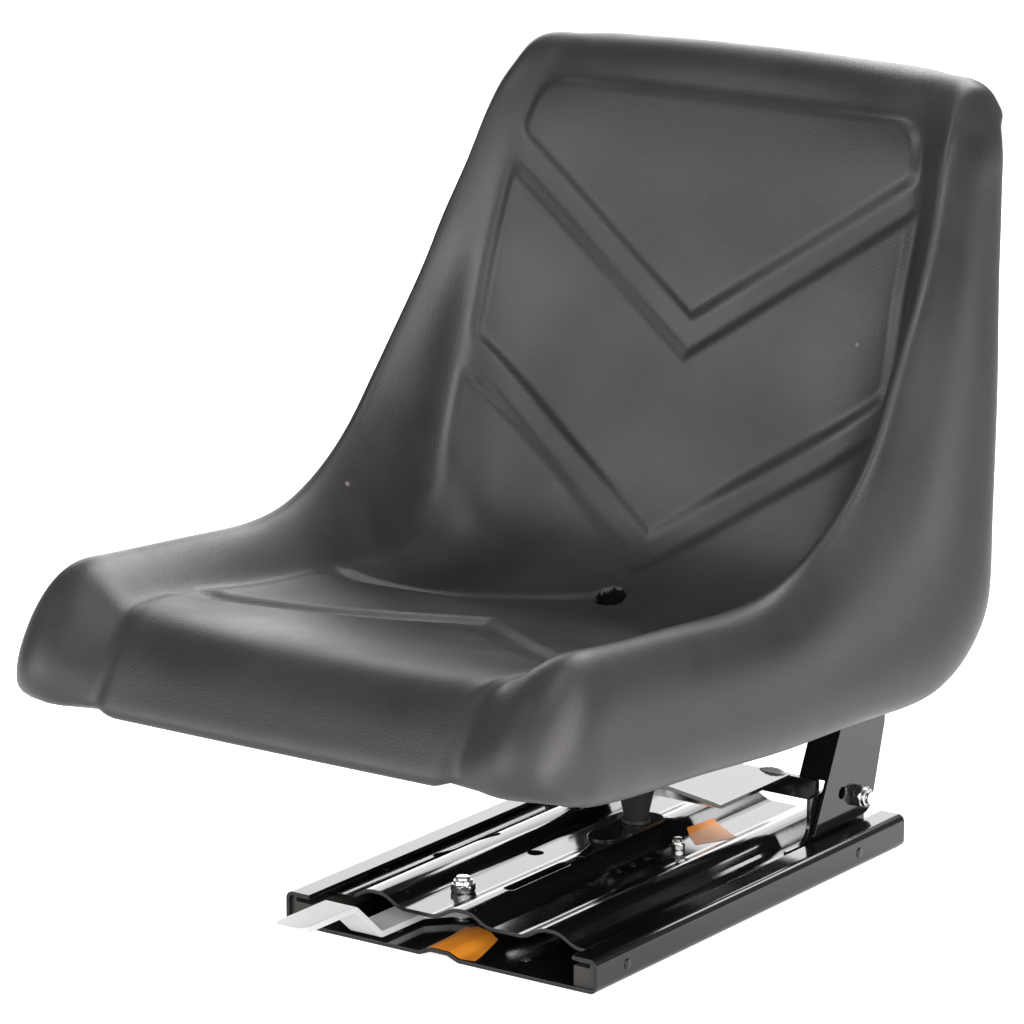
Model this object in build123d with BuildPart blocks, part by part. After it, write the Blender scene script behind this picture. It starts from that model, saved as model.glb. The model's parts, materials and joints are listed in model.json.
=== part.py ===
"""Operator seat: a moulded pan on a hinged steel frame, carried by a sheet-steel slide with a latch lever.

Millimetres. X runs to the sitter's left, Y to the rear and Z up. The origin is the centre of the base
plate's bolt pattern, on the underside of the base plate.
"""

import os
from math import cos, hypot, radians, sin

from build123d import *

os.makedirs("parts", exist_ok=True)

# Base plate
base_width = 290.0
base_length = 440.0
base_sheet = 3.0
channel_height = 27.0
channel_lip = 22.0
fold_radius = 4.5
bead_foot = 36.0
bead_crown = 16.0
bead_height = 4.0
mount_hole_radius = 4.5
mount_spacing_x = 120.0
mount_spacing_y = 380.0

# Gliders and their running clearance
glider_length = 76.0
glider_front_y = -179.0
glider_rear_y = 151.0
glider_width = 19.5
glider_lip = 17.0
glider_wall = 4.6
glider_peg_radius = 2.8
peg_height = 11.5
slide_clearance = 0.3
peg_clearance = 0.1

# Slide plate
slide_front_y = -190.0
slide_length = 395.0
slide_sheet = 3.0
slide_edge_gap = 0.4
slide_floor_z = 19.0
ridge_share = 0.72
ridge_height = 9.0
ridge_crown_share = 0.19
ridge_flank_share = 0.195
ridge_radius = 22.0

# Cut-outs of the slide plate
slot_width = 10.0
slot_front_y = -131.0
slot_rear_y = -48.0
index_hole_radius = 2.0
index_pitch = 19.6
index_count = 6
index_x = 30.0
index_first_y = -60.0
relief_hole_radius = 6.5
relief_hole_x = -50.0
relief_hole_y = -20.0
keyhole_x = -99.0
keyhole_y = -45.0
keyhole_length = 62.0
keyhole_width = 13.0
keyhole_turn = 70.0
drain_hole_radius = 4.0
drain_hole_x = -120.0
drain_hole_y = -124.0

# Latch lever, its pivot and the rack
lever_pivot_y = -131.0
lever_width = 28.0
lever_thickness = 5.0
lever_floor_gap = 3.0
handle_x = -68.0
handle_front_y = -318.0
handle_rear_y = -252.0
riser_foot_y = -219.0
handle_lift = 29.0
lever_fold_radius = 7.0
hub_radius = 17.0
latch_arm_x = -53.0
latch_arm_width = 18.0
tooth_y = 15.0
tooth_width = 8.0
tooth_length = 10.0
tooth_rest_gap = 0.8
rack_width = 11.5
rack_height = 8.0
notch_depth = 8.2
notch_clearance = 1.2
slide_steps_forward = 3
slide_steps_back = 2
lever_bolt_radius = 5.0
running_clearance = 0.1

# Travel stop
stop_x = 36.0
stop_y = 54.0
stop_radius = 3.0
stop_collar_radius = 6.0
stop_collar_height = 7.0

# Lock nuts: across flats and height for the two thread sizes
nut_m10_flats = 17.0
nut_m10_height = 9.5
nut_m6_flats = 10.0
nut_m6_height = 6.5
nut_body_share = 0.7
nut_collar_share = 0.46
thread_tail = 2.5

# Seat hinge: ears on the slide plate, cheeks on the seat frame
pivot_y = 186.0
pivot_z = 48.0
pivot_radius = 5.0
pivot_head_height = 6.5
hinge_sheet = 3.0
ear_inset = 23.5
ear_front_y = 121.5
ear_foot_y = 88.0
ear_flare = 16.0
ear_toe = 3.0
ear_rear_y = 204.0
ear_shoulder_z = 60.0
ear_lobe_radius = 18.0
washer_thickness = 1.5
washer_radius = 11.0
hinge_side_gap = 0.3
spare_hole_offset_y = -24.0
spare_hole_offset_z = 8.0
spare_hole_radius = 5.1

# Cheeks: heights are above the underside of the base plate
cheek_bottom_z = 30.0
cheek_front_y = 121.0
cheek_rear_y = 206.0
cheek_top_front_y = 193.0
flange_low_z = 71.0
cheek_top_rear_y = 230.0
cheek_hip_z = 100.0
cheek_hip_y = 226.0
cheek_corner_radius = 15.0
cheek_flange = 24.0
seat_carrier_z = 182.3

# Crossbar, support arm, carrier and buffer
crossbar_thickness = 6.0
crossbar_z = 54.0
crossbar_set_forward = 4.0
crossbar_end_gap = 1.5
arm_sheet = 3.0
arm_half_width = 88.0
arm_floor_z = 69.0
arm_bend_y = 36.0
arm_foot_y = -232.0
arm_toe = 28.0
arm_fold_radius = 12.0
carrier_sheet = 3.0
carrier_front_y = -240.0
carrier_rear_y = 230.0
bumper_y = 48.0
bumper_top_radius = 15.0
bumper_foot_radius = 9.5
bumper_lip_radius = 11.5
bumper_lip_height = 3.0
bumper_height = 29.0
bumper_bolt_radius = 4.0
pad_width = 28.0
pad_front_y = -30.0
pad_rear_y = 96.0
pad_slope = 34.0
landing_gap = 0.3

# Seat shell
seat_half_width = 255.0
panel_half_width = 176.0
seat_pan_recess_half_width = 186.0
rim_round = 9.0
groove_depth = 5.0
groove_width = 19.0
groove_reach = 60.0
groove_overrun = 14.0
back_foot_y = 58.0
back_foot_rise = 80.0
back_recline = 20.0
lower_back_tip = -18.0
upper_back_tip = 156.0
back_chevron_rise = 134.0
front_seat_tip = -180.0
rear_seat_tip = -9.0
seat_chevron_rise = 128.0
recess_foot_y = 88.0
recess_head_y = 222.0
recess_head_rise = 396.0
recess_radius = 45.0
drain_radius = 12.0
drain_y = 13.0
seat_bolt_radius = 4.0
seat_bolt_depth = 20.0
seat_bolt_inset = 15.5
seat_bolt_spacing_y = 170.0
seat_bolt_centre_y = -75.0
bolt_hole_clearance = 0.3
bolt_head_height = 5.5
bolt_head_flats = 13.0

# Heights and places that follow from the sizes above
inner_wall_x = base_width / 2 - base_sheet
lip_under_z = channel_height - base_sheet
slide_half_width = inner_wall_x - glider_wall - slide_edge_gap
slide_top_z = slide_floor_z + slide_sheet
ridge_top_z = slide_top_z + ridge_height
lever_low_z = base_sheet + lever_floor_gap
lever_top_z = lever_low_z + lever_thickness
ear_inner_x = slide_half_width - ear_inset
ear_outer_x = ear_inner_x + hinge_sheet
ear_toe_z = slide_top_z + ear_toe
cheek_inner_x = ear_outer_x + washer_thickness + hinge_side_gap
cheek_outer_x = cheek_inner_x + hinge_sheet
pivot_nut_x = cheek_outer_x + hinge_side_gap
carrier_half_width = cheek_inner_x - hinge_side_gap
seat_bolt_spacing_x = 2 * (carrier_half_width - seat_bolt_inset)
ridge_spacing = ridge_share * ear_inner_x
ridge_crown = ridge_crown_share * ridge_spacing
ridge_flank = ridge_flank_share * ridge_spacing
lever_pivot_x = -ridge_spacing / 2
carrier_top_z = seat_carrier_z + carrier_sheet
bumper_foot_z = arm_floor_z - bumper_height
pad_top_z = bumper_foot_z - landing_gap
rack_edge_x = latch_arm_x + latch_arm_width / 2 + tooth_length + tooth_rest_gap
stop_slot_front_y = stop_y - slide_steps_forward * index_pitch
stop_slot_rear_y = stop_y + slide_steps_back * index_pitch
tooth_front_y = tooth_y - slide_steps_forward * index_pitch
tooth_rear_y = tooth_y + slide_steps_back * index_pitch


def finish(piece, name):
    """Name a finished piece and write it as its own file."""
    piece.part.label = name
    export_step(piece.part, f"parts/{name}.step")


# Base plate: one sheet folded into a channel along each side, with a stiffening bead down the middle
fold_x = (base_width - base_sheet) / 2
fold_low_z = base_sheet / 2
fold_high_z = channel_height - base_sheet / 2
half_fold = [
    (base_width / 2 - channel_lip, fold_high_z),
    (fold_x, fold_high_z),
    (fold_x, fold_low_z),
    (bead_foot / 2, fold_low_z),
    (bead_crown / 2, fold_low_z + bead_height),
]
base_fold = half_fold + [(-x, z) for x, z in reversed(half_fold)]
with BuildPart() as base_plate:
    with BuildSketch(Plane.XZ):
        with BuildLine():
            FilletPolyline(*base_fold, radius=fold_radius)
        trace(line_width=base_sheet)
    extrude(amount=base_length / 2, both=True)
    with BuildSketch():
        with GridLocations(mount_spacing_x, mount_spacing_y, 2, 2):
            Circle(mount_hole_radius)
        with Locations((stop_x, (stop_slot_front_y + stop_slot_rear_y) / 2)):
            SlotCenterToCenter(
                stop_slot_rear_y - stop_slot_front_y,
                2 * (stop_radius + slide_clearance),
                rotation=90,
            )
    extrude(amount=base_sheet, mode=Mode.SUBTRACT)
    with BuildSketch(Plane.YZ):
        with Locations((glider_front_y, peg_height), (glider_rear_y, peg_height)):
            Circle(glider_peg_radius + peg_clearance)
    extrude(amount=base_width / 2, both=True, mode=Mode.SUBTRACT)
finish(base_plate, "base_plate")

# Gliders: C-shaped plastic blocks that hold the slide plate's edges, each pegged through its channel wall
glider_inner_x = inner_wall_x - glider_width
glider_corner = fold_radius - base_sheet / 2 + slide_clearance
slot_low_z = slide_floor_z - slide_clearance
slot_high_z = slide_top_z + slide_clearance
for row, glider_y in (("front", glider_front_y), ("rear", glider_rear_y)):
    for side, sign in (("left", -1), ("right", 1)):
        with BuildPart() as glider:
            with BuildSketch(Plane.XZ.offset(-glider_y)) as section:
                with BuildLine():
                    Polyline(
                        (sign * glider_inner_x, base_sheet),
                        (sign * (inner_wall_x - glider_corner), base_sheet),
                        (sign * inner_wall_x, base_sheet + glider_corner),
                        (sign * inner_wall_x, lip_under_z - glider_corner),
                        (sign * (inner_wall_x - glider_corner), lip_under_z),
                        (sign * (inner_wall_x - glider_lip), lip_under_z),
                        (sign * (inner_wall_x - glider_lip), slot_high_z),
                        (sign * (inner_wall_x - glider_wall), slot_high_z),
                        (sign * (inner_wall_x - glider_wall), slot_low_z),
                        (sign * glider_inner_x, slot_low_z),
                        close=True,
                    )
                make_face()
            extrude(amount=glider_length / 2, both=True)
            with BuildSketch(Plane.YZ.offset(sign * (inner_wall_x - glider_wall))):
                with Locations((glider_y, peg_height)):
                    Circle(glider_peg_radius)
            extrude(amount=sign * (glider_wall + base_sheet + peg_clearance))
        finish(glider, f"glider_{row}_{side}")

# Latch rack: a bar on the floor of the base plate, with a notch for each step of the slide
rack_front_y = tooth_front_y - index_pitch
rack_rear_y = tooth_rear_y + index_pitch
notch_count = slide_steps_forward + slide_steps_back + 1
with BuildPart() as latch_rack:
    with BuildSketch(Plane.XY.offset(base_sheet)):
        with Locations((rack_edge_x + rack_width / 2, (rack_front_y + rack_rear_y) / 2)):
            Rectangle(rack_width, rack_rear_y - rack_front_y)
        for step in range(notch_count):
            with Locations((rack_edge_x + notch_depth / 2, tooth_front_y + step * index_pitch)):
                Rectangle(notch_depth, tooth_width + 2 * notch_clearance, mode=Mode.SUBTRACT)
    extrude(amount=rack_height)
finish(latch_rack, "latch_rack")

# Slide plate: a corrugated sheet whose flat edges run in the gliders
wave_low_z = slide_floor_z + slide_sheet / 2
wave_high_z = wave_low_z + ridge_height
wave = [(-slide_half_width, wave_low_z)]
for ridge_x in (-ridge_spacing, 0, ridge_spacing):
    wave += [
        (ridge_x - ridge_crown / 2 - ridge_flank, wave_low_z),
        (ridge_x - ridge_crown / 2, wave_high_z),
        (ridge_x + ridge_crown / 2, wave_high_z),
        (ridge_x + ridge_crown / 2 + ridge_flank, wave_low_z),
    ]
wave += [(slide_half_width, wave_low_z)]
with BuildPart() as slide_plate:
    with BuildSketch(Plane.XZ.offset(-slide_front_y)):
        with BuildLine():
            FilletPolyline(*wave, radius=ridge_radius)
        trace(line_width=slide_sheet)
    extrude(amount=-slide_length)
    with BuildSketch(Plane.XY.offset(slide_floor_z)):
        with Locations((0, (slot_front_y + slot_rear_y) / 2)):
            SlotOverall(slot_rear_y - slot_front_y, slot_width, rotation=90)
        with Locations((keyhole_x, keyhole_y)):
            SlotOverall(keyhole_length, keyhole_width, rotation=keyhole_turn)
        with Locations((relief_hole_x, relief_hole_y)):
            Circle(relief_hole_radius)
        with Locations((drain_hole_x, drain_hole_y)):
            Circle(drain_hole_radius)
        for step in range(index_count):
            with Locations((index_x, index_first_y + step * index_pitch)):
                Circle(index_hole_radius)
        with Locations((lever_pivot_x, lever_pivot_y)):
            Circle(lever_bolt_radius + running_clearance)
        with Locations((stop_x, stop_y)):
            Circle(stop_radius + running_clearance)
    extrude(amount=ridge_height + slide_sheet, mode=Mode.SUBTRACT)
finish(slide_plate, "slide_plate")

# Hinge ears: plates on the slide plate's edge strips, with a flared foot and a lobe round the hinge bolt
for side, sign in (("left", -1), ("right", 1)):
    with BuildPart() as ear:
        with BuildSketch(Plane.YZ.offset(sign * ear_inner_x)):
            with BuildLine():
                Line((ear_foot_y, slide_top_z), (ear_rear_y, slide_top_z))
                Line((ear_rear_y, slide_top_z), (ear_rear_y, pivot_z))
                RadiusArc((ear_rear_y, pivot_z), (pivot_y, pivot_z + ear_lobe_radius), -ear_lobe_radius)
                Line((pivot_y, pivot_z + ear_lobe_radius), (ear_front_y, ear_shoulder_z))
                Line((ear_front_y, ear_shoulder_z), (ear_front_y, ear_toe_z + ear_flare))
                RadiusArc((ear_front_y, ear_toe_z + ear_flare), (ear_front_y - ear_flare, ear_toe_z), ear_flare)
                Line((ear_front_y - ear_flare, ear_toe_z), (ear_foot_y, ear_toe_z))
                Line((ear_foot_y, ear_toe_z), (ear_foot_y, slide_top_z))
            make_face()
            with Locations((pivot_y, pivot_z)):
                Circle(pivot_radius + running_clearance, mode=Mode.SUBTRACT)
        extrude(amount=sign * hinge_sheet)
    finish(ear, f"ear_{side}")

# Landing pad: a pressed strip on the middle ridge, where the rubber buffer lands
with BuildPart() as landing_pad:
    with BuildSketch(Plane.YZ):
        with BuildLine():
            Polyline(
                (pad_front_y, ridge_top_z),
                (pad_front_y + pad_slope, pad_top_z),
                (pad_rear_y - pad_slope, pad_top_z),
                (pad_rear_y, ridge_top_z),
                close=True,
            )
        make_face()
    extrude(amount=ridge_crown / 4, both=True)
    with BuildSketch(Plane.XY.offset(pad_top_z)):
        with Locations((0, (pad_front_y + pad_rear_y) / 2)):
            SlotOverall(pad_rear_y - pad_front_y - 2 * pad_slope + pad_width, pad_width, rotation=90)
    extrude(amount=-slide_sheet)
finish(landing_pad, "landing_pad")


def lock_nut(plane, flats, height, bore_radius):
    """Lock nut standing on a plane: a hexagon with a round collar on top."""
    body_height = nut_body_share * height
    with BuildPart() as nut:
        with BuildSketch(plane):
            RegularPolygon(flats / 2, 6, major_radius=False)
            Circle(bore_radius, mode=Mode.SUBTRACT)
        extrude(amount=body_height)
        with BuildSketch(plane.offset(body_height)):
            Circle(nut_collar_share * flats)
            Circle(bore_radius, mode=Mode.SUBTRACT)
        extrude(amount=height - body_height)
    return nut


# Lever pivot: a flat-headed bolt, a spacer under the slide plate and a lock nut on top of it
lever_head_height = lever_floor_gap - 2 * slide_clearance
with BuildPart() as lever_pivot_bolt:
    with Locations((lever_pivot_x, lever_pivot_y, lever_low_z - slide_clearance - lever_head_height)):
        Cylinder(hub_radius - lever_bolt_radius, lever_head_height, align=(Align.CENTER, Align.CENTER, Align.MIN))
    with Locations((lever_pivot_x, lever_pivot_y, lever_low_z - slide_clearance)):
        Cylinder(
            lever_bolt_radius,
            slide_top_z + nut_m10_height + thread_tail - lever_low_z + slide_clearance,
            align=(Align.CENTER, Align.CENTER, Align.MIN),
        )
finish(lever_pivot_bolt, "lever_pivot_bolt")

with BuildPart() as lever_spacer:
    with BuildSketch(Plane.XY.offset(lever_top_z + slide_clearance)):
        with Locations((lever_pivot_x, lever_pivot_y)):
            Circle(lever_bolt_radius + hinge_sheet)
            Circle(lever_bolt_radius, mode=Mode.SUBTRACT)
    extrude(amount=slide_floor_z - lever_top_z - slide_clearance)
finish(lever_spacer, "lever_spacer")

lever_nut_seat = Plane(origin=(lever_pivot_x, lever_pivot_y, slide_top_z))
lever_pivot_nut = lock_nut(lever_nut_seat, nut_m10_flats, nut_m10_height, lever_bolt_radius)
finish(lever_pivot_nut, "lever_pivot_nut")

# Travel stop: a collared bolt whose end runs in the base plate's slot
with BuildPart() as stop_bolt:
    with Locations((stop_x, stop_y, slide_clearance)):
        Cylinder(
            stop_radius,
            slide_top_z + nut_m6_height + thread_tail - slide_clearance,
            align=(Align.CENTER, Align.CENTER, Align.MIN),
        )
    with Locations((stop_x, stop_y, slide_floor_z)):
        Cylinder(stop_collar_radius, stop_collar_height, align=(Align.CENTER, Align.CENTER, Align.MAX))
finish(stop_bolt, "stop_bolt")

stop_nut_seat = Plane(origin=(stop_x, stop_y, slide_top_z))
stop_nut = lock_nut(stop_nut_seat, nut_m6_flats, nut_m6_height, stop_radius)
finish(stop_nut, "stop_nut")

# Latch lever: a flat bar bent up to a handle in front, with a hub, a latch arm and a tooth behind
lever_mid_z = lever_low_z + lever_thickness / 2
latch_arm_right_x = latch_arm_x + latch_arm_width / 2
with BuildPart() as latch_lever:
    with BuildSketch(Plane.YZ.offset(handle_x)):
        with BuildLine():
            FilletPolyline(
                (handle_front_y, lever_mid_z + handle_lift),
                (handle_rear_y, lever_mid_z + handle_lift),
                (riser_foot_y, lever_mid_z),
                (lever_pivot_y - hub_radius, lever_mid_z),
                radius=lever_fold_radius,
            )
        trace(line_width=lever_thickness)
    extrude(amount=lever_width / 2, both=True)
    with BuildSketch(Plane.XY.offset(lever_low_z)):
        with Locations((lever_pivot_x, lever_pivot_y)):
            Circle(hub_radius)
        with BuildLine():
            Polyline(
                (handle_x - lever_width / 2, lever_pivot_y - 2 * hub_radius),
                (handle_x + lever_width / 2, lever_pivot_y - 2 * hub_radius),
                (lever_pivot_x + hub_radius, lever_pivot_y),
                (latch_arm_right_x, lever_pivot_y + 2 * hub_radius),
                (latch_arm_right_x, tooth_y + tooth_width),
                (latch_arm_right_x - latch_arm_width, tooth_y + tooth_width),
                (latch_arm_right_x - latch_arm_width, lever_pivot_y + hub_radius),
                (handle_x - lever_width / 2, lever_pivot_y - hub_radius),
                close=True,
            )
        make_face()
        with Locations((latch_arm_right_x + tooth_length / 2, tooth_y)):
            Rectangle(tooth_length, tooth_width)
        with Locations((lever_pivot_x, lever_pivot_y)):
            Circle(lever_bolt_radius + running_clearance, mode=Mode.SUBTRACT)
    extrude(amount=lever_thickness)
    tip_edges = latch_lever.edges().filter_by(Axis.Z).group_by(Axis.Y)[0]
    fillet(tip_edges, lever_width / 4)
finish(latch_lever, "latch_lever")

# Cheeks: flanged side plates that hang on the hinge bolts outside the ears
cheek_top_z = seat_carrier_z
front_lean = (cheek_top_front_y - cheek_front_y) / (cheek_top_z - cheek_bottom_z)
flange_foot_y = cheek_front_y + front_lean * (flange_low_z - cheek_bottom_z)
flange_depth = hinge_sheet * hypot(1, front_lean)
for side, sign in (("left", -1), ("right", 1)):
    with BuildPart() as cheek:
        with BuildSketch(Plane.YZ.offset(sign * cheek_inner_x)) as plate:
            with BuildLine():
                Polyline(
                    (cheek_front_y, cheek_bottom_z),
                    (cheek_top_front_y, cheek_top_z),
                    (cheek_top_rear_y, cheek_top_z),
                    (cheek_hip_y, cheek_hip_z),
                    (cheek_rear_y, cheek_bottom_z),
                    close=True,
                )
            make_face()
            fillet(plate.vertices().group_by(Axis.Y)[0].sort_by(Axis.X)[-1], cheek_corner_radius)
            with Locations((pivot_y, pivot_z)):
                Circle(pivot_radius + running_clearance, mode=Mode.SUBTRACT)
            with Locations((pivot_y + spare_hole_offset_y, pivot_z + spare_hole_offset_z)):
                Circle(spare_hole_radius, mode=Mode.SUBTRACT)
        extrude(amount=sign * hinge_sheet)
        with BuildSketch(Plane.YZ.offset(sign * cheek_outer_x)):
            with BuildLine():
                Polyline(
                    (flange_foot_y, flange_low_z),
                    (cheek_top_front_y, cheek_top_z),
                    (cheek_top_rear_y, cheek_top_z),
                    (cheek_top_rear_y, cheek_top_z - hinge_sheet),
                    (cheek_top_front_y + flange_depth - front_lean * hinge_sheet, cheek_top_z - hinge_sheet),
                    (flange_foot_y + flange_depth, flange_low_z),
                    close=True,
                )
            make_face()
        extrude(amount=-sign * (hinge_sheet + cheek_flange))
    finish(cheek, f"cheek_{side}")

# Hinge bolts through ear, washer and cheek, with lock nuts outside
for side, sign in (("left", -1), ("right", 1)):
    with BuildPart() as pivot_bolt:
        with BuildSketch(Plane.YZ.offset(sign * ear_inner_x)):
            with Locations((pivot_y, pivot_z)):
                RegularPolygon(nut_m10_flats / 2, 6, major_radius=False)
        extrude(amount=-sign * pivot_head_height)
        with BuildSketch(Plane.YZ.offset(sign * ear_inner_x)):
            with Locations((pivot_y, pivot_z)):
                Circle(pivot_radius)
        extrude(amount=sign * (pivot_nut_x + nut_m10_height + thread_tail - ear_inner_x))
    finish(pivot_bolt, f"pivot_bolt_{side}")

    pivot_nut_seat = Plane(origin=(sign * pivot_nut_x, pivot_y, pivot_z), x_dir=(0, 1, 0), z_dir=(sign, 0, 0))
    pivot_nut = lock_nut(pivot_nut_seat, nut_m10_flats, nut_m10_height, pivot_radius)
    finish(pivot_nut, f"pivot_nut_{side}")

with BuildPart() as pivot_washers:
    for sign in (-1, 1):
        with BuildSketch(Plane.YZ.offset(sign * ear_outer_x)):
            with Locations((pivot_y, pivot_z)):
                Circle(washer_radius)
                Circle(pivot_radius, mode=Mode.SUBTRACT)
        extrude(amount=sign * washer_thickness)
finish(pivot_washers, "pivot_washers")

# Crossbar: a flat bar welded under the feet of the cheeks' flanges
crossbar_front_y = flange_foot_y - crossbar_set_forward
with BuildPart() as crossbar:
    with BuildSketch(Plane.XY.offset(crossbar_z)):
        with Locations((0, crossbar_front_y + crossbar_thickness / 2)):
            Rectangle(2 * (ear_inner_x - crossbar_end_gap), crossbar_thickness)
    extrude(amount=flange_low_z - crossbar_z)
finish(crossbar, "crossbar")

# Support arm: a bent sheet from the crossbar forward and up to the carrier
arm_mid_z = arm_floor_z + arm_sheet / 2
with BuildPart() as support_arm:
    with BuildSketch(Plane.YZ):
        with BuildLine():
            FilletPolyline(
                (crossbar_front_y, arm_mid_z),
                (arm_bend_y, arm_mid_z),
                (arm_foot_y + arm_toe, seat_carrier_z - arm_sheet / 2),
                (arm_foot_y, seat_carrier_z - arm_sheet / 2),
                radius=arm_fold_radius,
            )
        trace(line_width=arm_sheet)
    extrude(amount=arm_half_width, both=True)
    with BuildSketch(Plane.XY.offset(arm_floor_z)):
        with Locations((0, bumper_y)):
            Circle(bumper_bolt_radius + running_clearance)
    extrude(amount=arm_sheet, mode=Mode.SUBTRACT)
finish(support_arm, "support_arm")

# Carrier: the sheet under the pan that ties the cheeks and the arm together
with BuildPart() as seat_carrier:
    with BuildSketch(Plane.XY.offset(seat_carrier_z)):
        with Locations((0, (carrier_front_y + carrier_rear_y) / 2)):
            RectangleRounded(2 * carrier_half_width, carrier_rear_y - carrier_front_y, cheek_corner_radius)
        with Locations((0, seat_bolt_centre_y)):
            with GridLocations(seat_bolt_spacing_x, seat_bolt_spacing_y, 2, 2):
                Circle(seat_bolt_radius + bolt_hole_clearance, mode=Mode.SUBTRACT)
    extrude(amount=carrier_sheet)
finish(seat_carrier, "seat_carrier")

# Rubber buffer: a cone under the arm, and the bolt that holds it
with BuildPart() as rubber_bumper:
    with BuildSketch(Plane.YZ):
        with BuildLine():
            Polyline(
                (bumper_y + bumper_bolt_radius, arm_floor_z),
                (bumper_y + bumper_top_radius, arm_floor_z),
                (bumper_y + bumper_foot_radius, bumper_foot_z + bumper_lip_height),
                (bumper_y + bumper_lip_radius, bumper_foot_z + bumper_lip_height),
                (bumper_y + bumper_lip_radius, bumper_foot_z),
                (bumper_y + bumper_bolt_radius, bumper_foot_z),
                close=True,
            )
        make_face()
    revolve(axis=Axis((0, bumper_y, 0), (0, 0, 1)))
finish(rubber_bumper, "rubber_bumper")

with BuildPart() as bumper_bolt:
    with BuildSketch(Plane.XY.offset(bumper_foot_z + bumper_lip_height)):
        with Locations((0, bumper_y)):
            Circle(bumper_bolt_radius)
    extrude(amount=arm_floor_z + arm_sheet - bumper_foot_z - bumper_lip_height)
    with BuildSketch(Plane.XY.offset(arm_floor_z + arm_sheet)):
        with Locations((0, bumper_y)):
            RegularPolygon(bolt_head_flats / 2, 6, major_radius=False)
    extrude(amount=bolt_head_height)
finish(bumper_bolt, "bumper_bolt")

# Seat shell: cross-sections that follow the pan from the front skirt over the seat and up the back.
# Each station is given by its rim point and its ridge point, as Y and height above the carrier,
# then the height of the panel over the rim at the middle and at the side, and the two half widths
# measured in from the widest part of the seat and of the panel. The bolsters' shape is given as shares:
# across from the outside to the panel, and up from the rim or from the panel to the ridge.
stations = [
    ((-387.5, 22), (-428, 32), 46, 45, 26, 12),
    ((-384.5, 19), (-434.5, 54), 60, 59, 9, 12),
    ((-380, 19), (-416, 86.5), 68, 68, 3, 12),
    ((-374, 17.5), (-382.5, 118), 71.5, 74, 0.5, 8),
    ((-339.5, 12), (-340, 123), 79, 83, 1.5, 0),
    ((-225, 3.5), (-225, 114), 71.5, 75.5, 1.5, 0),
    ((-109.5, -5.5), (-116, 112.5), 67, 71, 0, -2),
    ((20, -11), (-40, 145), 62, 67.5, 0, -9),
    ((99, -9.5), (-2.5, 176), 96, 104, 0, -14),
    ((158.5, 23), (25.5, 208), 135, 143, 3, -18),
    ((184.5, 80.5), (68.5, 267), 149, 157, 12, -20),
    ((199, 196), (102, 319), 113.5, 122.5, 16, -18),
    ((214.5, 287), (131, 368), 90, 97, 24, -15),
    ((228.5, 367), (162.5, 419), 72, 76.5, 31.5, -4),
    ((241, 402.5), (215, 446), 60, 58, 42, 8),
    ((256, 408), (258, 429), 31, 30, 63, 22),
]
bolster_outside = [(0, 0.4), (0.05, 0.68), (0.17, 0.88)]
bolster_inside = [(0.36, 1), (0.6, 0.84), (0.85, 0.48), (1.08, 0.14), (1.4, 0)]


def seat_outline(outer, panel, ridge_rise, mid_rise, side_rise, drop):
    """Points over the top of one cross-section, from its left rim to its right rim."""
    bolster = outer - panel
    fall = ridge_rise - side_rise
    half = [(outer - 1.7 * rim_round, 0), (outer - 0.5 * rim_round, 0.8 * rim_round)]
    half += [(outer - across * bolster, up * ridge_rise) for across, up in bolster_outside]
    half += [(outer - across * bolster, side_rise + up * fall - drop) for across, up in bolster_inside]
    half += [(panel / 2, 0.7 * mid_rise + 0.3 * side_rise - drop)]
    return [(-x, s) for x, s in half] + [(0, mid_rise - drop)] + list(reversed(half))


def seat_body(drop):
    """The pan without its recess, with everything but the rim lowered by drop."""
    with BuildPart() as body:
        for rim, ridge, mid_rise, side_rise, taper, panel_taper in stations:
            rise = hypot(ridge[0] - rim[0], ridge[1] - rim[1])
            lean = ((ridge[0] - rim[0]) / rise, (ridge[1] - rim[1]) / rise)
            plane = Plane(
                origin=(0, rim[0], carrier_top_z + rim[1]),
                x_dir=(1, 0, 0),
                z_dir=(0, -lean[1], lean[0]),
            )
            outline = seat_outline(
                seat_half_width - taper, panel_half_width - panel_taper, rise, mid_rise, side_rise, drop
            )
            with BuildSketch(plane):
                with BuildLine():
                    Spline(*outline)
                    Line(outline[-1], outline[0])
                make_face()
        loft()
    return body.part


def chevron(tip, rise, half_span):
    """Corners of a V-shaped band: where its tip is, how far its arms rise, and its half span."""
    band = groove_width * hypot(half_span, rise) / half_span
    return [
        (0, tip),
        (half_span, tip + rise),
        (half_span, tip + rise + band),
        (0, tip + band),
        (-half_span, tip + rise + band),
        (-half_span, tip + rise),
    ]


# The grooves: V-shaped bands, tips down on the back and tips to the rear on the seat
back_plane = Plane(
    origin=(0, back_foot_y, carrier_top_z + back_foot_rise),
    x_dir=(1, 0, 0),
    z_dir=(0, -cos(radians(back_recline)), sin(radians(back_recline))),
)
with BuildPart() as grooves:
    with BuildSketch(back_plane):
        for tip in (lower_back_tip, upper_back_tip):
            with BuildLine():
                Polyline(*chevron(tip, back_chevron_rise, panel_half_width + groove_overrun), close=True)
            make_face()
    extrude(amount=groove_reach, both=True)
    with BuildSketch(Plane.XY.offset(carrier_top_z + 2 * groove_depth)):
        for tip in (front_seat_tip, rear_seat_tip):
            with BuildLine():
                Polyline(*chevron(tip, -seat_chevron_rise, panel_half_width), close=True)
            make_face()
    extrude(amount=2 * groove_reach)
    add(seat_body(groove_depth), mode=Mode.SUBTRACT)

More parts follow.
